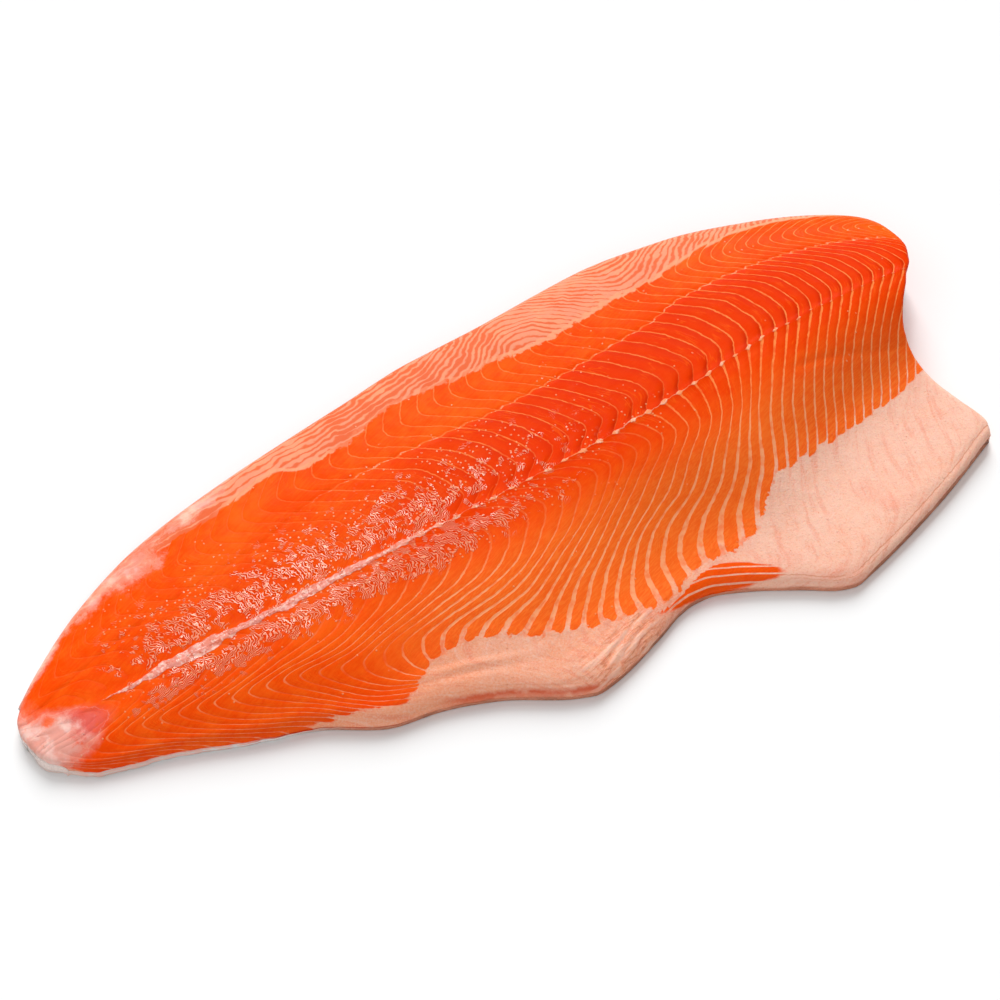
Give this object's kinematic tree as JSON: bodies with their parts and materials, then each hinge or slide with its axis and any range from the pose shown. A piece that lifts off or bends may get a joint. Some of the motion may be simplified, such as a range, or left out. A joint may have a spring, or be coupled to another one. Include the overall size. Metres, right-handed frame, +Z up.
{
  "type": "raw salmon fillet",
  "caption": "Whole raw salmon side, skin down, with a thick loin ridge, a thin belly flap and flaked, fat-marbled flesh.",
  "frame": {"origin": "middle of the bounding box, at the flat underside that lies on the board", "axes": "+X from the tail to the head end, +Y from the belly edge to the back edge, +Z up from the skin to the cut flesh"},
  "size_m": [0.55, 0.2436, 0.0374],
  "materials": {
    "flesh": "wet satin"
  },
  "bodies": {
    "root": {"fillet": "flesh"}
  },
  "joints": []
}
